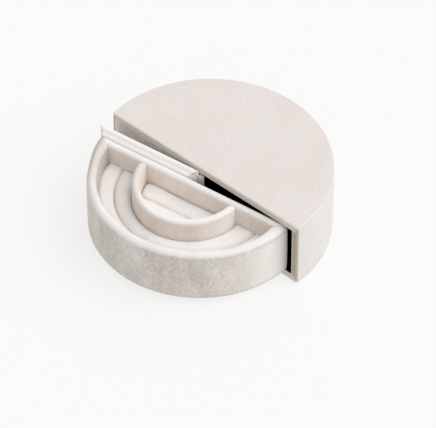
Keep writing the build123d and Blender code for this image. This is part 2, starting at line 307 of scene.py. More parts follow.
# %% Velvet materials
def velvet(name, dark, light, pile, nap_and_shade_tones=None, slot_shade=None, slot_shade_heights=None, sheen=0.3, bump=0.12):
    """A velvet: colour runs from dark to light with the pile's tone (patch, mottle and fibre
    strengths, patch scale per metre). Between two heights it changes to the colour slot_shade, a
    painted warm shade low in a slot. nap_and_shade_tones are two colours: the first where the
    nap attribute is -1 and the second where it is 1; they carry painted shade and
    painted light, and darker bands and seams."""
    material = bpy.data.materials.new(name)
    material.use_nodes = True
    nodes, links = material.node_tree.nodes, material.node_tree.links
    shader = nodes["Principled BSDF"]
    shader.inputs["Roughness"].default_value = 0.95
    shader.inputs["Specular IOR Level"].default_value = 0.1
    shader.inputs["Sheen Weight"].default_value = sheen
    shader.inputs["Sheen Roughness"].default_value = 0.5
    shader.inputs["Sheen Tint"].default_value = (1.0, 0.99, 0.97, 1.0)
    group = nodes.new("ShaderNodeGroup")
    group.node_tree = velvet_pile
    for label, value in zip(("Patch", "Mottle", "Fibre", "Patch Scale"), pile):
        group.inputs[label].default_value = value
    ramp = two_tones(nodes, dark, light)
    links.new(group.outputs["Tone"], ramp.inputs["Fac"])
    colour = ramp.outputs["Color"]
    if slot_shade:
        group.inputs["Low"].default_value, group.inputs["High"].default_value = slot_shade_heights
        colour = mixed(material.node_tree, group.outputs["Shade Below"], colour, slot_shade, "slot_shade")
    if nap_and_shade_tones:
        lie_and_shade = nodes.new("ShaderNodeAttribute")
        lie_and_shade.attribute_name = "nap"
        for sign, tone in zip((-1.0, 1.0), nap_and_shade_tones):
            amount = nodes.new("ShaderNodeMath")
            amount.operation = "MULTIPLY"
            amount.use_clamp = True
            amount.inputs[1].default_value = sign
            links.new(lie_and_shade.outputs["Fac"], amount.inputs[0])
            colour = mixed(material.node_tree, amount.outputs[0], colour, tone, "nap")
    links.new(colour, shader.inputs["Base Color"])
    bumps = nodes.new("ShaderNodeBump")
    bumps.inputs["Strength"].default_value = bump
    bumps.inputs["Distance"].default_value = 0.4 * mm
    links.new(group.outputs["Height"], bumps.inputs["Height"])
    links.new(bumps.outputs["Normal"], shader.inputs["Normal"])
    return material


slot_heights = (roll_crest - 1.8 * mm, roll_crest - 0.1 * mm)
rim_heights = (tray_top - 3.2 * mm, tray_top - 0.6 * mm)
housing_velvet = velvet(
    "housing velvet", (0.67, 0.62, 0.59), (0.79, 0.745, 0.72), (0.35, 0.7, 0.8, 40.0),
    nap_and_shade_tones=((0.66, 0.60, 0.54), (0.88, 0.85, 0.82)),
)
side_velvet = velvet(
    "side velvet", (0.66, 0.63, 0.605), (0.76, 0.735, 0.715), (0.7, 0.9, 0.7, 60.0),
    nap_and_shade_tones=((0.45, 0.38, 0.32), (0.88, 0.85, 0.82)),
)
# A darker copy of the velvet: painted shade of the binding in the mouth.
edge_velvet = velvet(
    "edge velvet", (0.42, 0.355, 0.30), (0.54, 0.47, 0.40), (0.6, 0.9, 0.7, 90.0),
    nap_and_shade_tones=((0.22, 0.17, 0.13), (0.80, 0.75, 0.70)),
)
# A darker copy of the velvet: painted shade of the fixed panel in the gap behind the cover.
panel_velvet = velvet(
    "panel velvet", (0.52, 0.46, 0.42), (0.66, 0.61, 0.57), (0.8, 1.2, 0.8, 90.0),
    nap_and_shade_tones=((0.34, 0.30, 0.27), (0.80, 0.76, 0.72)),
)
tray_velvet = velvet(
    "tray velvet", (0.77, 0.745, 0.72), (0.86, 0.845, 0.825), (1.0, 0.8, 1.0, 80.0),
    nap_and_shade_tones=((0.50, 0.45, 0.39), (0.90, 0.865, 0.83)),
)
# A lighter copy of the velvet: painted light on the inner faces of the back wall and half ring.
wall_velvet = velvet(
    "wall velvet", (0.82, 0.795, 0.77), (0.88, 0.865, 0.845), (0.8, 0.9, 0.9, 100.0),
    nap_and_shade_tones=((0.60, 0.545, 0.475), (0.95, 0.93, 0.90)),
)
# A lighter copy of the velvet: painted light on the cover's slope.
cover_velvet = velvet(
    "cover velvet", (0.88, 0.86, 0.835), (0.95, 0.935, 0.92), (0.9, 1.0, 0.9, 100.0),
    nap_and_shade_tones=((0.50, 0.43, 0.35), (0.96, 0.94, 0.92)),
)
# A darker copy of the velvet: painted shade of the hinge in the gap.
hinge_velvet = velvet("hinge velvet", (0.62, 0.57, 0.50), (0.76, 0.71, 0.64), (0.8, 0.9, 0.8, 90.0))
# The roll velvet's slot_shade is a painted warm shade low in the slots between the rolls.
roll_velvet = velvet(
    "roll velvet", (0.80, 0.78, 0.77), (0.88, 0.865, 0.86), (0.9, 0.8, 0.6, 90.0),
    slot_shade=(0.88, 0.80, 0.735), slot_shade_heights=slot_heights,
)


def shade_faces_below_rim(material, dark, light):
    """Paint the faces below the rim of a wall with a second, darker ramp: painted shade on the faces,
    which leaves a painted highlight on the rim. It is mixed in before the first of the two nap mixes."""
    nodes, links = material.node_tree.nodes, material.node_tree.links
    group = next(node for node in nodes if node.type == "GROUP")
    group.inputs["Low"].default_value, group.inputs["High"].default_value = rim_heights
    upper = next(node for node in nodes if node.type == "VALTORGB")
    first_shade_mix = next(node for node in nodes if node.name.startswith("nap"))
    lower = two_tones(nodes, dark, light)
    mix = nodes.new("ShaderNodeMix")
    mix.data_type = "RGBA"
    links.new(group.outputs["Tone"], lower.inputs["Fac"])
    links.new(group.outputs["Shade Below"], mix.inputs[0])
    links.new(upper.outputs["Color"], mix.inputs[6])
    links.new(lower.outputs["Color"], mix.inputs[7])
    links.new(mix.outputs[2], first_shade_mix.inputs[6])


# Painted shade on the wall faces and a painted highlight on the rims.
shade_faces_below_rim(tray_velvet, (0.50, 0.445, 0.40), (0.745, 0.70, 0.66))
shade_faces_below_rim(wall_velvet, (0.77, 0.69, 0.62), (0.91, 0.845, 0.785))


# %% [markdown]
# ## Board, lining and foam
# The boards and the lining keep their CAD shape, because it is already right. They only need a
# finish: grey board with fine flecks, and a near-black finish on the lining parts, which makes the cavity
# dark.


# %% Plain finishes
def flecked(name, dark, light, scale, roughness):
    """A dull material whose colour runs between two tones by a fine noise."""
    material = bpy.data.materials.new(name)
    material.use_nodes = True
    nodes, links = material.node_tree.nodes, material.node_tree.links
    shader = nodes["Principled BSDF"]
    shader.inputs["Roughness"].default_value = roughness
    shader.inputs["Specular IOR Level"].default_value = 0.1
    place = nodes.new("ShaderNodeTexCoord")
    noise = nodes.new("ShaderNodeTexNoise")
    noise.inputs["Scale"].default_value = scale
    noise.inputs["Detail"].default_value = 4.0
    ramp = two_tones(nodes, dark, light, 0.35, 0.65)
    links.new(place.outputs["Object"], noise.inputs["Vector"])
    links.new(noise.outputs["Fac"], ramp.inputs["Fac"])
    links.new(ramp.outputs["Color"], shader.inputs["Base Color"])
    return material


grey_board = flecked("grey board", (0.30, 0.27, 0.23), (0.42, 0.39, 0.34), 900.0, 0.85)
black_lining = flecked("black lining", (0.004, 0.004, 0.004), (0.012, 0.011, 0.011), 2500.0, 1.0)


def paint(node, material):
    """Give a CAD node's object one material."""
    piece = frame["nodes"][node]
    piece.data.materials.clear()
    piece.data.materials.append(material)


for node in frame["nodes"]:
    if node.endswith("_board"):
        paint(node, grey_board)
    if node.startswith("lining_"):
        paint(node, black_lining)


# %% [markdown]
# ## The half drum's outline
# All the housing's cloth follows one outline: a straight front and a round back, with soft corners
# between them. Drawing the outline in by an inset gives the inner side of the cloth, and because
# each inset has the same number of points, the loops can be stacked into a grid.


# %% Outline of the drum
def spread(start, end, count):
    """Evenly spaced values from start up to, but not including, end."""
    return np.linspace(start, end, count, endpoint=False)


def circle(centre, radius, angles):
    """Points on a circle at the given angles."""
    return np.stack([centre[0] + radius * np.cos(angles), centre[1] + radius * np.sin(angles)], axis=-1)


def half_drum(radius, line, corner, sizes=(90, 8, 200)):
    """Closed outline: the line y = line, a corner, the round back, a corner. The corner's centre
    lies one corner radius off the line and off the circle."""
    front_count, corner_count, back_count = sizes
    centre_x = math.sqrt((radius - corner) ** 2 - (line + corner) ** 2)
    lean = math.atan2(line + corner, centre_x)
    straight = np.stack([spread(-centre_x, centre_x, front_count), np.full(front_count, line)], axis=-1)
    right = circle((centre_x, line + corner), corner, spread(-math.pi / 2, lean, corner_count))
    back = circle((0, 0), radius, spread(lean, math.pi - lean, back_count))
    left = circle((-centre_x, line + corner), corner, spread(math.pi - lean, 1.5 * math.pi, corner_count))
    return np.concatenate([straight, right, back, left])


def at_height(outline, z):
    """Lift a flat outline to one height."""
    return np.concatenate([outline, np.full((len(outline), 1), z)], axis=-1)


# %% [markdown]
# ## Top and base cloth
# The top cloth is one sheet: it lies over the panel, rolls softly over the edge and is glued down
# at a seam. On the curved side it stops just under the rim, where the side cloth meets it, and
# along the front it comes down as a narrow band. The base is covered the same way, upside down.


# %% Panel cloth
drum_corner = 1.3 * mm
drum_middle = np.array([0.0, 0.4 * drum_radius])
rim_round = 0.9 * mm
seam_tuck = 0.35 * mm
side_overlap = 1.1 * mm     # how far the panel cloth comes down on the curved side


def drop(outline, along_front, along_back):
    """A depth for each point of an outline: one value along the front, another along the back."""
    share = np.clip((outline[:, 1] - front) / (2.0 * mm), 0, 1)
    return along_front + (along_back - along_front) * share


def panel_cloth(name, top, outward):
    """Rings from the middle of the flat face out, a quarter-round rim, then the band down to the
    seam and back under it. outward is 1 for the top and -1 for the base. The colour is darker on
    the rings of the rim and the band, and only along the front."""
    edge = half_drum(drum_radius, front, drum_corner)
    at_front = 1 - rise(0.3 * mm, 2.0 * mm, edge[:, 1] - front)
    flat_rings, band_tone, hidden_rings = 9, [-0.2, -0.6, -1.0, -0.9, -0.9, -1.0], 5
    lie_and_shade = np.array([0.0] * flat_rings + band_tone + [0.0] * hidden_rings)
    rings = []
    for share in (0.0, 0.25, 0.5, 0.75, 0.9):
        inner = half_drum(drum_radius - rim_round, front + rim_round, drum_corner)
        ring = drum_middle + share * (inner - drum_middle)
        rings.append(at_height(ring, top))
    for turn in np.linspace(0, math.pi / 2, 7):
        inset = rim_round * (1 - math.sin(turn))
        drawn = half_drum(drum_radius - inset, front + inset, drum_corner)
        rings.append(at_height(drawn, top - outward * rim_round * (1 - math.cos(turn))))
    down = drop(edge, turn_down, side_overlap)
    for inset, share in ((0.0, 0.8), (0.05 * mm, 0.93), (seam_tuck, 1.0), (skin, 0.98), (skin, 0.5)):
        drawn = half_drum(drum_radius - inset, front + inset, drum_corner)
        ring = at_height(drawn, top)
        ring[:, 2] -= outward * down * share
        rings.append(ring)
    for share in (0.97, 0.5, 0.0):
        inner = half_drum(drum_radius - skin, front + skin, drum_corner)
        ring = drum_middle + share * (inner - drum_middle)
        rings.append(at_height(ring, top - outward * skin))
    return cloth(name, np.stack(rings), housing_velvet, nap=lie_and_shade[:, None] * at_front)


top_cloth = panel_cloth("top_cloth", height, 1)
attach(top_cloth, "housing")
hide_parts("top_velvet")

base_cloth = panel_cloth("base_cloth", 0.0, -1)
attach(base_cloth, "housing")
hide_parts("base_velvet")


# %% [markdown]
# ## Side cloth
# The side cloth is a band round the curved wall. At each end it turns the corner and runs a little
# way along the front, where the binding of the mouth meets it. Its section is a thin closed loop:
# up the outside, over, and down the inside.


# %% Side cloth
_, mouth_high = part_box("mouth_binding")
binding_sides = 3.3 * mm
binding_across = 1.8 * mm
binding_reach = mouth_high[0] - binding_across + binding_sides


def side_path(inset):
    """Open path from the left turn-in, round the back, to the right turn-in, drawn in by inset."""
    radius, line, corner = drum_radius - inset, front + inset, drum_corner
    centre_x = math.sqrt((radius - corner) ** 2 - (line + corner) ** 2)
    lean = math.atan2(line + corner, centre_x)
    first_x = min(binding_reach, centre_x - 0.2 * mm)
    turn_in = np.stack([spread(first_x, centre_x, 3), np.full(3, line)], axis=-1)
    right = circle((centre_x, line + corner), corner, spread(-math.pi / 2, lean, 8))
    back = circle((0, 0), radius, np.linspace(lean, math.pi / 2, 120))
    half = np.concatenate([turn_in, right, back])
    mirrored = half[::-1][1:] * np.array([-1, 1])
    return np.concatenate([half, mirrored])


def side_cloth():
    """Section loop: the outer face with drawn-in top and bottom, then the inner face. Near the
    front the band is squeezed to the height between the two panel cloths, and painted shade
    darkens it at the seam, where it turns in."""
    shoulder = 0.5 * mm
    outer_low = side_overlap + 0.05 * mm
    outer_high = height - outer_low
    loop = []
    for turn in np.linspace(0, math.pi / 2, 5):
        loop.append((shoulder * (1 - math.sin(turn)), outer_low + shoulder * (1 - math.cos(turn))))
    for share in np.linspace(0.08, 0.92, 22):
        loop.append((0.0, outer_low + share * (outer_high - outer_low)))
    for turn in np.linspace(math.pi / 2, 0, 5):
        loop.append((shoulder * (1 - math.sin(turn)), outer_high - shoulder * (1 - math.cos(turn))))
    loop.append((skin, outer_high - 0.1 * mm))
    loop.append((skin, outer_low + 0.1 * mm))
    path = [at_height(side_path(inset), z) for inset, z in loop]
    grid = np.stack(path, axis=1)
    near_front = np.clip(1 - (grid[..., 1] - front) / (1.6 * mm), 0, 1)
    squeeze_to = np.clip(grid[..., 2], turn_down + 0.05 * mm, height - turn_down - 0.05 * mm)
    grid[..., 2] += near_front * (squeeze_to - grid[..., 2])
    # Painted shade on the turn-in along the front.
    seam = -0.9 * (1 - rise(0.2 * mm, 1.0 * mm, with_ends(grid)[..., 1] - front))
    return cloth("side_cloth", with_ends(grid), side_velvet, nap=seam)


side = side_cloth()
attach(side, "housing")
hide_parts("side_velvet")


# %% [markdown]
# ## Binding of the mouth and the fixed panel
# The mouth is framed by a narrow bound edge. Seen from the front it is the second of two thin
# bands, with a fine dark seam between them. The left half of the mouth is filled by the fixed
# panel, a thin padded board.


# %% Rounded rectangles
corner_points = 6


def rounded_rectangle(low, high, corner, along=24):
    """Closed loop of a rectangle from low to high (two coordinates each) with round corners."""
    (x0, y0), (x1, y1) = low, high
    left, right, lower, upper = x0 + corner, x1 - corner, y0 + corner, y1 - corner
    centres = ((right, lower), (right, upper), (left, upper), (left, lower))
    starts = ((left, y0), (x1, lower), (right, y1), (x0, upper))
    loop = []
    for side_number, (centre, start) in enumerate(zip(centres, starts)):
        angle = -math.pi / 2 + side_number * math.pi / 2
        end = circle(centre, corner, np.array([angle]))[0]
        share = spread(0, 1, along)[:, None]
        loop.append(np.array(start) * (1 - share) + end * share)
        loop.append(circle(centre, corner, spread(angle, angle + math.pi / 2, corner_points)))
    return np.concatenate(loop)


# %% Mouth binding
def binding():
    """A frame: for each point of its half-round section, a rectangle loop grown by that share of
    the width, which is larger at the two sides than above and below. It is painted light above,
    below and on the left side, and painted shade darkens the right side; it also darkens at the
    outer seam. The right side has a dark seam along it, a bell curve across its width."""
    reach = mouth_high[0] - binding_across
    width = np.array([binding_sides, binding_across])
    rings = []
    for turn in np.linspace(0, math.pi, 11):
        share = 0.5 - 0.5 * math.cos(turn)
        rings.append((share, front + 0.45 * mm * (1 - math.sin(turn) ** 0.5)))
    rings += [(1.0, front + skin), (0.0, front + skin)]
    grid = []
    for share, y in rings:
        low = np.array([-reach, lining_floor]) - share * width
        high = np.array([reach, lining_ceiling]) + share * width
        loop = rounded_rectangle(low, high, 0.3 * mm + share * 1.5 * mm)
        grid.append(np.stack([loop[:, 0], np.full(len(loop), y), loop[:, 1]], axis=-1))
    grid.append(grid[0])
    grid = np.stack(grid)
    across = np.array([share for share, _ in rings] + [0.0])[:, None]
    level_part = (grid[..., 2] > lining_ceiling) | (grid[..., 2] < lining_floor)
    # Painted light above, below and on the left; painted shade on the right side.
    lie_and_shade = np.where(level_part, 0.65, np.where(grid[..., 0] < 0, 0.9, 0.1))
    side_seam = np.exp(-(((across - 0.62) / 0.09) ** 2)) * (grid[..., 0] > 0)
    lie_and_shade = lie_and_shade - 0.9 * side_seam + 0.3 * rise(0.72, 0.85, across)
    lie_and_shade = lie_and_shade - (lie_and_shade + 1.0) * rise(0.93, 1.0, across)
    return cloth("mouth_binding_cloth", grid, edge_velvet, nap=lie_and_shade)


mouth_cloth = binding()
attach(mouth_cloth, "housing")
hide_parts("mouth_binding")


# %% Fixed panel
def cushion_slab(name, low, high, face, back, rim, corner, bulge, material):
    """A flat pad on an upright board: rings from the middle of its face, over a rounded rim, to
    the middle of its back. bulge lifts the face by a cosine of the distance from the middle. A
    painted shadow darkens it towards its right end."""
    low, high = np.array(low), np.array(high)
    middle = (low + high) / 2
    outward = np.sign(face - back)
    rings = []

    def ring(inset, share, y):
        loop = rounded_rectangle(low + inset, high - inset, max(corner - inset, 0.05 * mm))
        loop = middle + share * (loop - middle)
        rings.append(np.stack([loop[:, 0], np.full(len(loop), y), loop[:, 1]], axis=-1))

    for share in (0.0, 0.3, 0.6, 0.85, 0.95):
        ring(rim, share, face + outward * bulge * math.cos(share * math.pi / 2))
    for turn in np.linspace(0, math.pi / 2, 6):
        ring(rim * (1 - math.sin(turn)), 1.0, face - outward * rim * (1 - math.cos(turn)))
    ring(0.0, 1.0, back)
    for share in (0.5, 0.0):
        ring(0.0, share, back)
    grid = np.stack(rings)
    # Painted shadow of the cover: darker towards the right end, by the hinge.
    along = (grid[..., 0] - low[0]) / (high[0] - low[0])
    return cloth(name, grid, material, nap=0.2 - 0.5 * rise(0.3, 1.0, along))


panel_corner_low, panel_corner_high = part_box("front_velvet")
fixed_panel = cushion_slab(
    "fixed_panel_cloth",
    (panel_corner_low[0] - 0.5 * mm, lining_floor + 0.1 * mm),
    (panel_corner_high[0], lining_ceiling - 0.1 * mm),
    front + 0.1 * mm,
    panel_corner_high[1],
    0.5 * mm,
    0.6 * mm,
    0.1 * mm,
    panel_velvet,
)
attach(fixed_panel, "housing")
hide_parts("front_velvet")


# %% [markdown]
# ## Curved strips of the tray
# The tray's walls and rolls are all strips between two half circles whose centres may differ. A
# strip is described by its two edges and a section. At each step along the strip the section is
# stretched from one edge to the other, so a strip of changing width keeps its form, and its ends
# lie exactly on the straight back wall.


# %% Strips between two half circles
def half_circle(centre, radius, flat, share):
    """Points on the lower part of a circle, cut off by the line v = flat; share 0 to 1 runs from
    its left end to its right end by angle."""
    end = math.asin((flat - centre[1]) / radius)
    start = -math.pi - end
    return circle(centre, radius, start + share * (end - start))


def strip(outer, inner, section):
    """A (steps, section, 3) grid: point = outer + s (inner - outer) at height z, for each step
    along the edges and each (s, z) of the section. The section may change along the strip."""
    s = section[..., 0, None]
    flat = outer[:, None, :] * (1 - s) + inner[:, None, :] * s
    z = np.broadcast_to(section[..., 1, None], flat.shape[:2] + (1,))
    return np.concatenate([flat, z], axis=-1)


def wall_section(width, low, top, fullness, side_points=10, crown_points=17):
    """A padded wall: up the outer face, over a half-round top as wide as the wall, and down the
    inner face. fullness swells the faces by a half sine. Columns are (share across, height)."""
    half = width / 2
    height_up = spread(0, 1, side_points)
    swell = fullness / width * np.sin(math.pi * height_up)
    outer = np.stack([-swell, low + height_up * (top - half - low)], axis=-1)
    turn = np.linspace(math.pi, 0, crown_points)
    crown = np.stack([0.5 + 0.5 * np.cos(turn), top - half + half * np.sin(turn)], axis=-1)
    inner = np.stack([1 + swell, outer[:, 1]], axis=-1)[::-1]
    return np.concatenate([outer, crown, inner])


# %% [markdown]
# ## Padded walls
# The walls are board strips wrapped in velvet over a little wadding, which gives them their round
# tops. The round wall turns the corner at both ends, so its section is drawn in there. Each point
# carries its own painted light and shade: lighter where the light falls, darker in shade.


# %% Outer wall
def clustered(count):
    """Steps from 0 to 1 that crowd towards both ends, where a strip turns its corners."""
    return 0.5 - 0.5 * np.cos(math.pi * np.linspace(0, 1, count))


def padded_in(points, centre):
    """Draw points of the wall's inner circle towards its centre near the back wall, where the
    cloth fills the inside corner: by 1.5 mm at the corner, falling off as a bell curve."""
    away = back_inner - points[:, 1]
    pad = 1.5 * mm * np.exp(-((away / (7 * mm)) ** 2))
    reach = np.linalg.norm(points - centre, axis=1)
    return centre + (points - centre) * (1 - pad / reach)[:, None]


def outer_wall():
    """The round wall. Within one corner radius of an end its outside is drawn in on a quarter
    circle, and near its left end the whole wall leans in by a bell curve. Painted shade darkens
    the left of the rim, more so on its outer half, and the inner face on the left; painted light
    lightens the right of the faces, and a painted shadow darkens a patch low on the left."""
    share = clustered(360)
    outer = half_circle(tray_centre, tray_radius, tray_back, share)
    inner = padded_in(half_circle(tray_centre, tray_radius - wall, tray_back, share), tray_centre)
    lean_in = 0.9 * mm * np.exp(-(((share - 0.12) / 0.06) ** 2))[:, None]
    outer = outer + lean_in * (tray_centre - outer) / tray_radius
    inner = inner + lean_in * (tray_centre - inner) / tray_radius
    from_end = np.minimum(share, 1 - share) * math.pi * tray_radius
    corner = 1.1 * mm
    reach = np.clip(1 - from_end / corner, 0, 1)
    draw = corner * (1 - np.sqrt(1 - reach**2)) / wall
    section = np.repeat(wall_section(wall, tray_floor, tray_top, 0.12 * mm)[None], len(share), axis=0)
    section[..., 0] = draw[:, None] + section[..., 0] * (1 - draw[:, None])
    up = (section[..., 1] - tray_floor) / (tray_top - tray_floor)
    section[..., 1] -= up * (1 - np.sqrt(1 - reach[:, None] ** 2)) * 0.8 * mm
    at_rim = rise(0.86, 0.96, up)
    share = share[:, None]
    outer_half = 0.45 + 0.5 * (1 - rise(0.2, 0.55, section[..., 0]))
    # Painted shade on the left of the rim and the left inner face, painted light on the right faces.
    lie_and_shade = at_rim * -outer_half * (1 - rise(0.08, 0.36, share))
    lie_and_shade -= (1 - at_rim) * 0.45 * (section[..., 0] > 0.9) * (1 - rise(0.2, 0.5, share))
    shadow = 0.35 * np.exp(-(((share - 0.3) / 0.12) ** 2)) * (1 - up)
    lie_and_shade += (1 - at_rim) * (0.62 * rise(0.72, 0.93, share) - shadow)
    lie_and_shade = np.concatenate([lie_and_shade[:1], lie_and_shade, lie_and_shade[-1:]])
    grid = to_world(with_ends(strip(outer, inner, section)))
    return cloth("outer_wall_cloth", grid, tray_velvet, nap=lie_and_shade)


outer_wall_cloth = outer_wall()
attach(outer_wall_cloth, "tray")
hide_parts("outer_wall_velvet")


# %% Back wall
def back_wall():
    """The straight wall. Both its ends stop on a circle just inside the middle of the round wall,
    so that the two rims meet in a mitre."""
    radius = tray_radius - 0.55 * wall
    rear, face = tray_back - 0.04 * mm, back_inner
    along = 2 * clustered(160)[:, None] - 1
    behind = tray_centre[0] + along * math.sqrt(radius**2 - (rear - tray_centre[1]) ** 2)
    before = tray_centre[0] + along * math.sqrt(radius**2 - (face - tray_centre[1]) ** 2)
    behind = np.concatenate([behind, np.full_like(behind, rear)], axis=1)
    before = np.concatenate([before, np.full_like(before, face)], axis=1)
    section = wall_section(rear - face, tray_floor, tray_top, 0.1 * mm)
    grid = to_world(with_ends(strip(behind, before, section)))
    return cloth("back_wall_cloth", grid, wall_velvet)


back_wall_cloth = back_wall()
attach(back_wall_cloth, "tray")
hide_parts("back_wall_velvet")


# %% Half-ring wall
def half_ring():
    """The half-ring wall round the middle compartment. Its ends stop just inside the face of the
    back wall, and its rim turns down there into a crease darkened by painted shade. Painted
    shade darkens the left of its rim and painted light lightens the right of its faces."""
    share = clustered(200)
    into = back_inner + 0.35 * mm
    outer = half_circle(ring_centre, ring_radius, into, share)
    inner = half_circle(ring_centre, ring_radius - ring_wall, into, share)
    share = share[:, None]
    from_end = np.minimum(share, 1 - share) * math.pi * ring_radius
    section = wall_section(ring_wall, floor_top, tray_top, 0.1 * mm)
    section = np.repeat(section[None], len(share), axis=0)
    up = (section[..., 1] - floor_top) / (tray_top - floor_top)
    section[..., 1] -= up * 0.9 * mm * (1 - rise(0.0, 2.2 * mm, from_end))
    at_rim = rise(0.86, 0.96, up)
    # Painted shade on the left of the rim and in the end creases, painted light on the right faces.
    lie_and_shade = at_rim * -0.5 * (1 - rise(0.15, 0.45, share)) + (1 - at_rim) * 0.6 * rise(0.7, 0.95, share)
    lie_and_shade = lie_and_shade - (lie_and_shade + 0.9) * (1 - rise(0.4 * mm, 1.0 * mm, from_end))
    lie_and_shade = np.concatenate([lie_and_shade[:1], lie_and_shade, lie_and_shade[-1:]])
    grid = to_world(with_ends(strip(outer, inner, section)))
    return cloth("ring_wall_cloth", grid, wall_velvet, nap=lie_and_shade)


ring_wall_cloth = half_ring()
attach(ring_wall_cloth, "tray")
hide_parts("ring_wall_velvet")


# %% [markdown]
# ## Ring rolls
# A ring roll is a strip of foam in velvet. Its sides are drawn in where the cloth is tucked into
# the slot, and its top is a low crown. Rings are pushed into the slots and stand up in them.


# %% Curved rolls
gap = 0.15 * mm
half_slot = 0.06 * mm
shoulder = 1.9 * mm
dome = 0.3 * mm


def roll_section(low, crest, width, side_points=6, top_points=29):
    """A roll: up one side, over the crown, down the other side. The crown is a superellipse in
    its shoulders and slightly domed between them: z = crest - dome (2 s - 1)^2."""
    height_up = spread(0, 1, side_points)
    side_z = low + height_up * (crest - shoulder - low)
    left = np.stack([np.zeros(side_points), side_z], axis=-1)
    turn = np.linspace(math.pi / 2, 0, top_points // 2)
    round_share = shoulder / width
    s = np.concatenate([round_share * (1 - np.sin(turn)), np.linspace(round_share, 0.5, 6)[1:]])
    up = np.concatenate([crest - shoulder + shoulder * np.cos(turn) ** 0.9, np.full(5, crest)])
    up -= dome * (2 * s - 1) ** 2
    half = np.stack([s, up], axis=-1)
    other = half[::-1][1:] * np.array([-1, 1]) + np.array([1, 0])
    right = left[::-1] * np.array([1, 1]) + np.array([1, 0])
    return np.concatenate([left, half, other, right])


def curved_roll(name, outer, inner, filled):
    """A roll between two half circles, each given as (centre, radius). Its width changes along it,
    so its section does too. At the back wall its top turns down a little. filled draws the
    outside in at the corners, where the wall is padded."""
    share = clustered(260)
    flat = back_inner - 0.05 * mm
    outside = half_circle(*outer, flat, share)
    inside = half_circle(*inner, flat, share)
    if filled:
        outside = padded_in(outside, tray_centre)
    width = np.linalg.norm(outside - inside, axis=1)
    section = np.stack([roll_section(floor_top, roll_crest, one) for one in width])
    from_end = np.minimum(share, 1 - share) * math.pi * outer[1]
    reach = np.clip(1 - from_end / (1.0 * mm), 0, 1)[:, None]
    up = (section[..., 1] - floor_top) / (roll_crest - floor_top)
    section[..., 1] -= up * (1 - np.sqrt(1 - reach**2)) * 0.8 * mm
    return cloth(name, to_world(with_ends(strip(outside, inside, section))), roll_velvet)


outer_roll = curved_roll(
    "outer_roll_cushion",
    (tray_centre, tray_radius - wall - gap),
    (slot_centre, slot_radius + half_slot),
    True,
)
inner_roll = curved_roll(
    "inner_roll_cushion",
    (slot_centre, slot_radius - half_slot),
    (ring_centre, ring_radius + gap),
    False,
)


# %% Middle rolls
def middle_roll(name, back_line, front_line):
    """A roll inside the half ring between two lines across it; no front line leaves its round
    front. Rings shrink from the outline to the middle and rise over a rounded shoulder."""
    radius = ring_radius - ring_wall - gap
    corner = 3.0 * mm
    crown = 0.4 * mm
    count = 160
    angles = spread(0, 2 * math.pi, count)
    rays = np.stack([np.cos(angles), np.sin(angles)], axis=-1)
    low_line = -ring_radius + ring_centre[1] if front_line is None else front_line
    middle = np.array([ring_centre[0], (back_line + max(low_line, ring_centre[1] - radius)) / 2])
    reach = np.linspace(0, 2 * ring_radius, 4000)

    def outline(inset):
        """The last point of each ray where the nearness to the edges, added as powers, is under
        1. The sum keeps the corners round."""
        points = middle + reach[:, None, None] * rays[None]
        to_circle = radius - inset - np.linalg.norm(points - ring_centre, axis=-1)
        to_back = back_line - inset - points[..., 1]
        edges = [to_circle, to_back]
        if front_line is not None:
            edges.append(points[..., 1] - front_line - inset)
        nearness = sum(np.clip(1 - edge / corner, 0, None) ** 2.6 for edge in edges)
        step = (nearness < 1).sum(axis=0) - 1
        return middle + reach[step][:, None] * rays

    rings = [np.repeat(middle[None], count, axis=0)]
    heights = [floor_top]
    for share in (0.5, 1.0):
        rings.append(middle + share * (outline(0) - middle))
        heights.append(floor_top)
    for share in np.linspace(0.15, 1, 6):
        rings.append(outline(0))
        heights.append(floor_top + share * (roll_crest - shoulder - floor_top))
    for turn in np.linspace(0.12, math.pi / 2, 9):
        rings.append(outline(shoulder * (1 - math.cos(turn) ** 0.9)))
        heights.append(roll_crest - shoulder + (shoulder - crown) * math.sin(turn))
    flat = rings[-1]
    for share in (0.75, 0.5, 0.25, 0.0):
        rings.append(middle + share * (flat - middle))
        heights.append(roll_crest - crown * share**2)
    grid = np.stack([at_height(ring, z) for ring, z in zip(rings, heights)])
    return cloth(name, to_world(grid), roll_velvet)


middle_back = middle_roll("middle_back_cushion", back_inner - gap, middle_slot + half_slot)
middle_front = middle_roll("middle_front_cushion", middle_slot - half_slot, None)

for roll, node in (
    (outer_roll, "outer_roll"),
    (inner_roll, "inner_roll"),
    (middle_back, "middle_back_roll"),
    (middle_front, "middle_front_roll"),
):
    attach(roll, "tray")
    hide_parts(f"{node}_foam", f"{node}_velvet")


# %% [markdown]
# ## Letting the padding swell
# Foam pushes its velvet out between the places where the cloth is glued down. A cloth simulation
# finds that shape: a copy of the piece, fifty times as large, is pumped up while its sides and
# bottom are held, without gravity. Only a small part of the movement is kept, because the foam is
# firm.


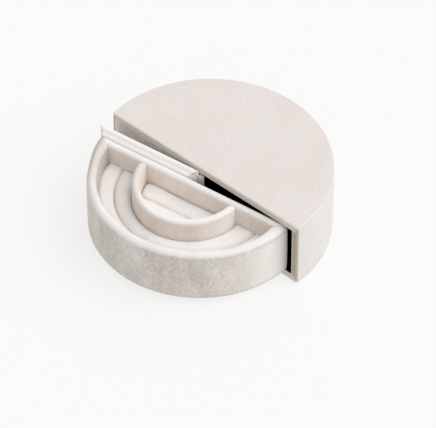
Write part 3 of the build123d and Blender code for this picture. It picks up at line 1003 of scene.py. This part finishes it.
# %% Swelling
def puffed(piece, held, cap):
    """Pump a copy of the piece for some frames and add its movement d, kept to d min(1, cap / |d|).
    held is 1 for a point that stays and 0 for a free one. Prints the largest and mean movement."""
    stage_scene = bpy.context.scene
    enlarge = 50.0
    frames = 20
    mesh = piece.data
    start = np.empty(len(mesh.vertices) * 3)
    mesh.vertices.foreach_get("co", start)
    start = start.reshape(-1, 3)
    copy_mesh = mesh.copy()
    copy_mesh.vertices.foreach_set("co", (start * enlarge).ravel())
    copy = bpy.data.objects.new("swelling", copy_mesh)
    stage_scene.collection.objects.link(copy)
    pins = copy.vertex_groups.new(name="held")
    kept = held(start)
    pins.add(np.flatnonzero(kept > 0.5).tolist(), 1.0, "REPLACE")
    modifier = copy.modifiers.new("cloth", "CLOTH")
    fabric = modifier.settings
    fabric.quality = 5
    fabric.mass = 0.4
    fabric.tension_stiffness = fabric.compression_stiffness = 20
    fabric.bending_stiffness = 2.0
    fabric.use_pressure = True
    fabric.uniform_pressure_force = 4.0
    fabric.effector_weights.gravity = 0
    fabric.vertex_group_mass = "held"
    modifier.collision_settings.use_collision = False
    modifier.point_cache.frame_start, modifier.point_cache.frame_end = 1, frames
    for tick in range(1, frames + 1):
        stage_scene.frame_set(tick)
    swollen = copy.evaluated_get(bpy.context.evaluated_depsgraph_get()).data
    end = np.empty(len(swollen.vertices) * 3)
    swollen.vertices.foreach_get("co", end)
    move = end.reshape(-1, 3) / enlarge - start
    length = np.linalg.norm(move, axis=1, keepdims=True)
    no_movement = 1e-9
    move *= np.minimum(1, cap / np.maximum(length, no_movement))
    mesh.vertices.foreach_set("co", (start + move).ravel())
    mesh.update()
    bpy.data.objects.remove(copy)
    bpy.data.meshes.remove(copy_mesh)
    stage_scene.frame_set(1)
    most, mean = np.round(length.max() / mm, 2), np.round(length.mean() / mm, 2)
    print(piece.name, "swelled by", most, "mean", mean, "mm")


def below_shoulder(points):
    """1 for the points of a roll that are glued: its bottom and its sides."""
    return (points[:, 2] < roll_crest - 1.2 * shoulder).astype(float)


for roll in (outer_roll, inner_roll, middle_back, middle_front):
    puffed(roll, below_shoulder, 0.35 * mm)


# %% [markdown]
# ## Cover board
# The cover is a thin board with a padded inner side. Its rim slopes in on all four sides like a
# picture mount, so that the pad can enter the mouth. The cloth is folded at the corners, where
# painted shade marks a fine crease along each mitre, and near the hinge it lies in shallow folds.


# %% Cover
def cover():
    """Rings of one rounded rectangle in (u, z), each drawn in and set at its own v: the flat
    outer face, the thin rim, the slope, the pad and the face against the tray."""
    low = np.array([cover_low[0], cover_low[2]])
    high = np.array([cover_high[0], cover_high[2]])
    middle = (low + high) / 2
    outer_v, inner_v = cover_high[1], cover_low[1]
    pad_inset = 2.15 * mm
    side_count = 40
    step = np.arange(4 * (side_count + corner_points)) % (side_count + corner_points)
    # Columns at the mitres, where painted shade marks the crease.
    mitre = np.where((step > side_count) | (step < 1), -1.0, 0.0)
    rings = []
    lies = []

    def ring(inset, v, share=1.0, crease=0.0, gather=0.0, shade=0.0):
        """One ring. gather is the height of the shallow folds near the hinge, crease how dark the
        painted shade along the mitres is, and shade the painted light and shade: lighter at the top
        of the slope and darker over the pad."""
        loop = rounded_rectangle(low + inset, high - inset, 0.5 * mm, along=side_count)
        from_end = np.abs(high[0] - loop[:, 0])
        near_end = np.exp(-((from_end / (3.5 * mm)) ** 2))
        folds = gather * near_end * np.sin(loop[:, 1] / (0.55 * mm) + 5 * from_end / mm)
        loop = middle + share * (loop - middle)
        rings.append(np.stack([loop[:, 0], v + folds, loop[:, 1]], axis=-1))
        lies.append(shade + crease * mitre)

    for share in (0.0, 0.4, 0.8, 0.97):
        ring(0.25 * mm, outer_v, share)
    ring(0.25 * mm, outer_v)
    ring(0.07 * mm, outer_v - 0.07 * mm)
    ring(0.0, outer_v - 0.25 * mm)
    for share in np.linspace(0.1, 0.95, 8):
        lift = 0.3 * mm * math.sin(share * math.pi)
        folded = 0.2 * mm * math.sin(share * math.pi)
        place = outer_v - 0.4 * mm - 1.7 * mm * share - 0.5 * lift
        ring(pad_inset * share - lift, place, crease=0.9, gather=folded, shade=0.5 - 0.5 * share)
    pad_from, pad_to = outer_v - 2.2 * mm, inner_v
    pad_curve = ((0.0, 0.0), (0.2, 0.06), (0.45, 0.1), (0.7, 0.2), (0.88, 0.42), (0.97, 0.7))
    for v_share, more in pad_curve:
        place = pad_from + v_share * (pad_to - pad_from)
        ring(pad_inset + more * mm, place, crease=0.5, shade=-0.1 - 0.25 * v_share)
    ring(pad_inset + 1.1 * mm, inner_v)
    for share in (0.8, 0.4, 0.0):
        ring(pad_inset + 1.1 * mm, inner_v, share)
    return cloth("cover_cushion", to_world(np.stack(rings)), cover_velvet, nap=np.stack(lies))


def below_pad(points):
    """1 for the points of the cover that are glued: all but its pad and the slope round it."""
    v = (points[:, 1] - hinge[1]) * math.cos(swing) - (points[:, 0] - hinge[0]) * math.sin(swing)
    return (v > cover_high[1] - 0.6 * mm).astype(float)


cover_cushion = cover()
puffed(cover_cushion, below_pad, 0.12 * mm)
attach(cover_cushion, "tray")
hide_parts("cover_velvet", "cover_foam")


# %% [markdown]
# ## Cloth under the tray, and the hinge
# A flat piece of velvet is glued under the tray's floor board. The hinge is a strip of velvet
# in a darker colour, painted shade of the gap: one edge is glued to the end of the fixed panel,
# the other to the end of the cover, and it stands in a fold between them.


# %% Cloth under the tray
def under_cloth():
    """Two copies of the half-round outline, one skin apart, closed to their middles."""
    share = np.linspace(0, 1, 200)
    edge = half_circle(tray_centre, tray_radius - wall, back_inner, share)
    middle = edge.mean(axis=0)
    low = tray_floor + 0.1 * mm
    high = low + skin
    edges = ((0.0, low), (0.99, low), (1.0, low + 0.2 * mm), (1.0, high - 0.2 * mm), (0.0, high - 0.1 * mm))
    rings = [at_height(middle + part * (edge - middle), z) for part, z in edges]
    return cloth("tray_floor_cloth", to_world(np.stack(rings)), housing_velvet)


tray_floor_cloth = under_cloth()
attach(tray_floor_cloth, "tray")
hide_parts("tray_base_velvet")


# %% Hinge cloth
hinge_low, hinge_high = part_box("hinge_fixed_cloth")


def hinge_cloth():
    """A folded strip: its plan is a smooth line from the fixed panel's end, round the fold, to the
    cover's end, and its section is a thin closed loop across that line."""
    start = np.array([panel_corner_high[0] + 0.3 * mm, front + 1.2 * mm])
    fold = np.array([hinge[0] + 1.9 * mm, hinge[1] + 0.8 * mm])
    cover_end = to_world(np.array([[cover_high[0] + 0.1 * mm, 0.0, 0.0]]))[0, :2]
    inside_cover = to_world(np.array([[cover_high[0] - 1.6 * mm, 0.0, 0.0]]))[0, :2]
    round_panel = np.array([start[0] + 0.35 * mm, front - 0.1 * mm])
    knots = np.stack([start, round_panel, fold, cover_end, inside_cover])
    where = np.linspace(0, len(knots) - 1, 40)
    line = np.stack([smooth_curve(where, knots[:, axis]) for axis in (0, 1)], axis=-1)
    direction = np.gradient(line, axis=0)
    direction /= np.linalg.norm(direction, axis=1, keepdims=True)
    aside = np.stack([-direction[:, 1], direction[:, 0]], axis=-1) * 0.25 * mm
    z_low, z_high = hinge_low[2], hinge_high[2]
    corners = [(1, z_low), (1, z_low + 1 * mm)]
    corners += [(1, z) for z in np.linspace(z_low + 3 * mm, z_high - 3 * mm, 12)]
    corners += [(1, z_high - 1 * mm), (1, z_high)]
    corners += [(-side_of, z) for side_of, z in reversed(corners)]
    grid = [at_height(line + side_of * aside, z) for side_of, z in corners]
    return cloth("hinge_cloth", with_ends(np.stack(grid, axis=1)), hinge_velvet)


def smooth_curve(where, values):
    """Cubic through evenly spaced values (Catmull-Rom): each span is bent by its neighbours."""
    padded = np.concatenate([[2 * values[0] - values[1]], values, [2 * values[-1] - values[-2]]])
    span = np.clip(where.astype(int), 0, len(values) - 2)
    t = where - span
    p0, p1, p2, p3 = (padded[span + k] for k in range(4))
    slope = (p2 - p0) * t
    bend = (2 * p0 - 5 * p1 + 4 * p2 - p3) * t**2
    turn = (3 * p1 - p0 - 3 * p2 + p3) * t**3
    return 0.5 * (2 * p1 + slope + bend + turn)


hinge_strip = hinge_cloth()
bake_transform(hinge_strip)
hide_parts("hinge_fixed_cloth", "hinge_moving_cloth")


# %% [markdown]
# ## Floor, light and camera
# The box stands on a plain pale floor in soft studio light. An even sky gives more than half of the
# light, and a wide sun from the right and a little behind gives the rest, so that a white surface
# facing up renders as white. The camera is a long lens above and to the right of the front, as in
# the photograph.


# %% Floor
def floor():
    """A wide plain, a little under the box, whose colour renders near white."""
    size = 6.0
    under = -0.05 * mm
    left = [[-size, -size, under], [-size, size, under]]
    right = [[size, -size, under], [size, size, under]]
    material = bpy.data.materials.new("pale floor")
    material.use_nodes = True
    shader = material.node_tree.nodes["Principled BSDF"]
    shader.inputs["Base Color"].default_value = (0.21, 0.21, 0.21, 1.0)
    shader.inputs["Roughness"].default_value = 1.0
    shader.inputs["Specular IOR Level"].default_value = 0.0
    shader.inputs["Emission Color"].default_value = (1.0, 1.0, 0.995, 1.0)
    shader.inputs["Emission Strength"].default_value = 0.728
    return cloth("floor", np.array([left, right]), material, closed=False)


plain = floor()

# %% World and sun
world = bpy.data.worlds.new("studio")
bpy.context.scene.world = world
world.use_nodes = True
sky = world.node_tree.nodes["Background"]
sky.inputs["Color"].default_value = (1.0, 1.0, 1.0, 1.0)
sky.inputs["Strength"].default_value = 0.68

sun_light = bpy.data.lights.new("window", "SUN")
sun_light.energy = 1.6
sun_light.angle = math.radians(60)
sun_light.color = (1.0, 0.99, 0.975)
sun = bpy.data.objects.new("window", sun_light)
bpy.context.scene.collection.objects.link(sun)
sun_from = Vector((0.85, 0.5, 1.4))
sun.rotation_euler = sun_from.to_track_quat("Z", "Y").to_euler()

# %% Camera
camera_data = bpy.data.cameras.new("camera")
camera = bpy.data.objects.new("camera", camera_data)
bpy.context.scene.collection.objects.link(camera)
bpy.context.scene.camera = camera
azimuth, elevation = math.radians(41.17), math.radians(46.32)
distance = 1.8
image_width = 436
focal_pixels = 3654
target = Vector((0.3 * mm, 5.1 * mm, 0.0))
level_reach = math.cos(elevation)
back = Vector((math.sin(azimuth) * level_reach, -math.cos(azimuth) * level_reach, math.sin(elevation)))
camera.location = target + back * distance
camera.rotation_mode = "QUATERNION"
camera.rotation_quaternion = (-back).to_track_quat("-Z", "Y")
camera_data.sensor_width = 36.0
camera_data.lens = focal_pixels * camera_data.sensor_width / image_width
camera_data.clip_start, camera_data.clip_end = 0.1, 20.0

# %% Colour
scene = bpy.context.scene
scene.view_settings.view_transform = "Standard"
